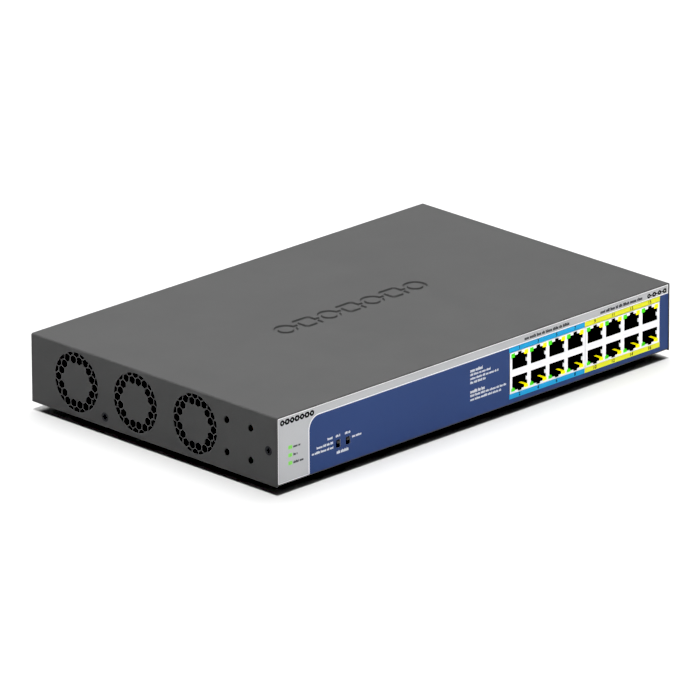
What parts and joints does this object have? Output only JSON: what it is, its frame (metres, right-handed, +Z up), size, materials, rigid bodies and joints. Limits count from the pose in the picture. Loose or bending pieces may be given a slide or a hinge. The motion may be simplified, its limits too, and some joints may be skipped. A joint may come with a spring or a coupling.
{
  "type": "desktop network switch",
  "caption": "Flat sheet-metal desktop network switch with stacked RJ45 jacks, status lights, mode slide switches and side fans behind honeycomb grilles.",
  "frame": {"origin": "on the table, under the middle of the case", "axes": "+X to the right seen from the front, +Y to the rear (the front panel faces -Y), +Z up"},
  "size_m": [0.33, 0.208, 0.048],
  "materials": {
    "inlet_black": "black moulded thermoset",
    "pin_nickel": "nickel-plated brass",
    "cover_paint": "fine-grained satin dark grey powder coat on steel",
    "capacitor_sleeve": "dark plastic sleeve with bare aluminium top",
    "chip_epoxy": "black moulded epoxy",
    "bright_screws": "bright zinc-plated steel",
    "standoff_steel": "pressed hexagonal steel standoffs",
    "black_screws": "black zinc-plated steel",
    "bearing_bronze": "sintered bronze",
    "bracket_zinc": "zinc-plated sheet steel",
    "wire_sleeve": "black heat-shrink sleeve",
    "fan_black": "black glass-filled plastic",
    "magnet_grey": "bonded ferrite",
    "shaft_steel": "ground steel",
    "motor_copper": "enamelled copper on an iron core",
    "panel_film": "printed polycarbonate film, silver and blue with coloured port bands",
    "contact_gold": "gold-plated bronze",
    "green_light": "clear green light pipe",
    "port_plastic": "black moulded thermoplastic",
    "port_shield": "bright nickel-plated brass sheet",
    "yellow_light": "clear yellow light pipe",
    "switch_plastic": "black glass-filled plastic",
    "lever_plastic": "light grey plastic",
    "board_green": "green solder mask on glass laminate",
    "magnetics_black": "black moulded transformer body",
    "harness_wire": "insulated copper wire",
    "psu_laminate": "tan paper laminate",
    "choke_wire": "enamelled copper winding",
    "sink_black": "anodised aluminium",
    "ferrite": "sintered ferrite core and taped winding",
    "foot_rubber": "matt black rubber",
    "led_white": "surface-mount light-emitting diodes",
    "status_clear": "clear moulded light pipe, lit green",
    "terminal_tin": "tinned terminals",
    "connector_white": "off-white nylon"
  },
  "bodies": {
    "root": {"ac_inlet": "inlet_black", "ac_inlet_pins": "pin_nickel", "base_pan": "cover_paint", "board_capacitors": "capacitor_sleeve", "board_chips": "chip_epoxy", "board_screws": "bright_screws", "board_standoffs": "standoff_steel", "cover_screws": "black_screws", "fan_bearings": "bearing_bronze", "fan_bracket": "bracket_zinc", "fan_leads": "wire_sleeve", "fan_screws": "bright_screws", "front_fan_frame": "fan_black", "front_fan_stator": "motor_copper", "front_overlay": "panel_film", "left_port_contacts": "contact_gold", "left_port_green_lights": "green_light", "left_port_housing": "port_plastic", "left_port_shield": "port_shield", "left_port_yellow_lights": "yellow_light", "left_switch_body": "switch_plastic", "main_board": "board_green", "middle_fan_frame": "fan_black", "middle_fan_stator": "motor_copper", "network_transformers": "magnetics_black", "power_transistors": "chip_epoxy", "power_wires": "harness_wire", "psu_board": "psu_laminate", "psu_capacitors": "capacitor_sleeve", "psu_chokes": "choke_wire", "psu_heatsinks": "sink_black", "psu_transformer": "ferrite", "rear_fan_frame": "fan_black", "rear_fan_stator": "motor_copper", "rear_panel_screws": "bright_screws", "right_port_contacts": "contact_gold", "right_port_green_lights": "green_light", "right_port_housing": "port_plastic", "right_port_shield": "port_shield", "right_port_yellow_lights": "yellow_light", "right_switch_body": "switch_plastic", "rubber_feet": "foot_rubber", "status_leds": "led_white", "status_light_pipe": "status_clear", "switch_heatsink": "sink_black", "switch_terminals": "terminal_tin", "top_cover": "cover_paint", "wire_connectors": "connector_white"},
    "front_fan_rotor": {"front_fan_impeller": "fan_black", "front_fan_shaft": "shaft_steel", "front_fan_magnet": "magnet_grey"},
    "middle_fan_rotor": {"middle_fan_impeller": "fan_black", "middle_fan_shaft": "shaft_steel", "middle_fan_magnet": "magnet_grey"},
    "rear_fan_rotor": {"rear_fan_impeller": "fan_black", "rear_fan_shaft": "shaft_steel", "rear_fan_magnet": "magnet_grey"},
    "left_switch_slider": {"left_switch_lever": "lever_plastic"},
    "right_switch_slider": {"right_switch_lever": "lever_plastic"}
  },
  "joints": [
    {"name": "front_fan_spin", "type": "hinge", "parent": "root", "child": "front_fan_rotor", "pos_m": [-0.1506, -0.0355, 0.02695], "axis": [1, 0, 0], "continuous": true},
    {"name": "middle_fan_spin", "type": "hinge", "parent": "root", "child": "middle_fan_rotor", "pos_m": [-0.1506, 0.0149, 0.02695], "axis": [1, 0, 0], "continuous": true},
    {"name": "rear_fan_spin", "type": "hinge", "parent": "root", "child": "rear_fan_rotor", "pos_m": [-0.1506, 0.0653, 0.02695], "axis": [1, 0, 0], "continuous": true},
    {"name": "left_switch_slide", "type": "slide", "parent": "root", "child": "left_switch_slider", "axis": [0, 0, 1], "range_m": [-0.0017, 0]},
    {"name": "right_switch_slide", "type": "slide", "parent": "root", "child": "right_switch_slider", "axis": [0, 0, 1], "range_m": [-0.0017, 0]}
  ]
}
